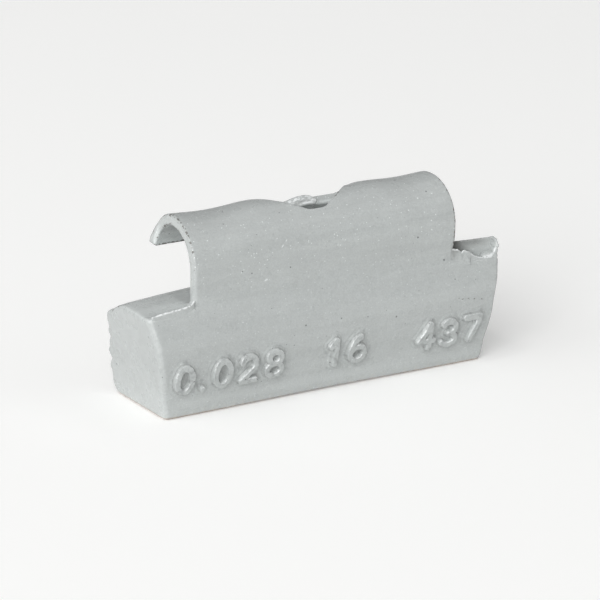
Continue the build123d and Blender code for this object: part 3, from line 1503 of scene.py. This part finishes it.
# Matt white board, uncoated: it gives the eye an even pale ground with no gloss, on which only the soft shadow shows.
@dataclass(frozen=True)
class MattBoard:
    """The pale board under the weight, which is seen a little paler than the light alone makes it."""

    name: str = "matt_white_board"
    colour: str = "#f4f4f3"
    glow: Span = (0.185, 0.225)
    glow_span: Span = (-40.0, 120.0)

    def material(self) -> bpy.types.Material:
        """The board as a material.

        Returns:
            The finished material.
        """
        made = bpy.data.materials.new(self.name)
        made.use_nodes = True
        tree = made.node_tree
        tree.nodes.clear()
        rays = add_node(tree, "ShaderNodeLightPath").outputs
        mirrored = [rays["Is Glossy Ray"], rays["Is Transmission Ray"]]
        seen = [rays["Is Camera Ray"], add_node(tree, "ShaderNodeMath", LARGER, mirrored)]
        shown = add_node(tree, "ShaderNodeMath", LARGER, seen)
        place = add_node(tree, "ShaderNodeTexCoord").outputs["Object"]
        away = add_node(tree, "ShaderNodeSeparateXYZ", None, [place]).outputs["Y"]
        near, far = (s * MM for s in self.glow_span)
        strength = add_node(tree, "ShaderNodeMapRange", None, [away, near, far, *self.glow])
        strength = add_node(tree, "ShaderNodeMath", MULTIPLY, [strength, shown])
        board = add_node(tree, "ShaderNodeBsdfDiffuse", None, {"Color": linear(self.colour)})
        light = add_node(tree, "ShaderNodeEmission", None, {"Color": linear(self.colour), "Strength": strength})
        both = add_node(tree, "ShaderNodeAddShader", None, [board, light])
        add_node(tree, "ShaderNodeOutputMaterial", None, {"Surface": both})
        return made


@dataclass(frozen=True)
class Softbox:
    """A flat soft lamp that faces the weight."""

    name: str
    place: Point
    size: Span
    power: float
    roll: float = 0.0

    def hang(self) -> None:
        """Add the lamp to the scene."""
        lamp = bpy.data.lights.new(self.name, "AREA")
        lamp.shape = "RECTANGLE"
        lamp.size, lamp.size_y = (s * MM for s in self.size)
        lamp.energy = self.power
        holder = bpy.data.objects.new(self.name, lamp)
        holder.location = Vector(self.place) * MM
        facing = (-Vector(self.place)).to_track_quat("-Z", "Y").to_matrix()
        holder.rotation_euler = (facing @ Matrix.Rotation(math.radians(self.roll), 3, "Z")).to_euler()
        bpy.context.scene.collection.objects.link(holder)


@dataclass
class Studio:
    """A pale floor, soft light and the camera at the photograph's place."""

    target: Point = (-1.118, -1.321, 7.122)
    azimuth: float = -30.886
    elevation: float = 17.7
    distance: float = 287.08
    lens: float = 214.88
    sensor: float = 36.0
    clip_range: Span = (10.0, 20000.0)
    floor_size: float = 4000.0
    board: MattBoard = MattBoard()
    room_strength: float = 0.285
    lamps: tuple[Softbox, ...] = (
        Softbox("strip_softbox", (245, -138, 414), (1040, 160), 0.4, roll=33.0),
        Softbox("left_softbox", (-800, -366, 433), (1300, 1000), 3.7),
        Softbox("left_wall", (-900, 150, 300), (1600, 900), 3.0),
        Softbox("front_left_softbox", (-600, -600, 450), (600, 500), 4.75),
        Softbox("key_lamp", (-210, -60, 558), (70, 70), 0.17),
    )

    def build(self) -> None:
        """Set the camera, the floor and the lamps."""
        bpy.context.scene.view_settings.view_transform = "Standard"
        self.camera()
        self.floor()
        self.light()

    def camera(self) -> None:
        """Place the camera."""
        data = bpy.data.cameras.new("camera")
        data.lens = self.lens
        data.sensor_width = self.sensor
        data.clip_start, data.clip_end = (s * MM for s in self.clip_range)
        a, e = math.radians(self.azimuth), math.radians(self.elevation)
        back = Vector((math.sin(a) * math.cos(e), -math.cos(a) * math.cos(e), math.sin(e)))
        camera = bpy.data.objects.new("camera", data)
        camera.location = (Vector(self.target) + back * self.distance) * MM
        camera.rotation_euler = (-back).to_track_quat("-Z", "Y").to_euler()
        bpy.context.scene.collection.objects.link(camera)
        bpy.context.scene.camera = camera

    def floor(self) -> None:
        """Lay the pale floor."""
        bm = bmesh.new()
        bmesh.ops.create_grid(bm, x_segments=1, y_segments=1, size=self.floor_size / 2 * MM)
        mesh = bpy.data.meshes.new("floor")
        bm.to_mesh(mesh)
        bm.free()
        mesh.materials.append(self.board.material())
        floor = bpy.data.objects.new("floor", mesh)
        bpy.context.scene.collection.objects.link(floor)

    def light(self) -> None:
        """Hang the lamps and set the even light of the room."""
        world = bpy.data.worlds.new("room")
        bpy.context.scene.world = world
        world.use_nodes = True
        room = world.node_tree.nodes["Background"].inputs
        room["Color"].default_value = (1.0, 1.0, 1.0, 1.0)
        room["Strength"].default_value = self.room_strength
        for lamp in self.lamps:
            lamp.hang()


def show(skin: Skin, paint: bpy.types.Material, node: Node) -> None:
    """Set a finished skin in metres, put it on the root body in place of its CAD solid, which is hidden.

    Args:
        skin: The finished skin, in millimetres.
        paint: Its material.
        node: The CAD solid that it stands for.
    """
    with skin.opened() as bm:
        bmesh.ops.scale(bm, vec=(MM,) * 3, verts=bm.verts)
    skin.mesh.polygons.foreach_set("use_smooth", np.ones(len(skin.mesh.polygons), bool))
    skin.mesh.materials.clear()
    skin.mesh.materials.append(paint)
    piece = bpy.data.objects.new(skin.mesh.name, skin.mesh)
    bpy.context.scene.collection.objects.link(piece)
    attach(piece, ROOT)
    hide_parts(node.value)
    log.info("%s: %d faces", piece.name, len(skin.mesh.polygons))


def main() -> None:
    """Build the painted weight and its studio."""
    logging.basicConfig(level=logging.INFO)
    blank = FusedBlank()
    skin = blank.build()
    paint = SatinPaint().material()
    casting = Casting().build(blank, skin)
    clip = Clip().build(blank, skin)
    bpy.data.meshes.remove(skin.mesh)
    show(casting, paint, Node.CASTING)
    show(clip, paint, Node.CLIP)
    Studio().build()


if __name__ == "__main__":
    main()
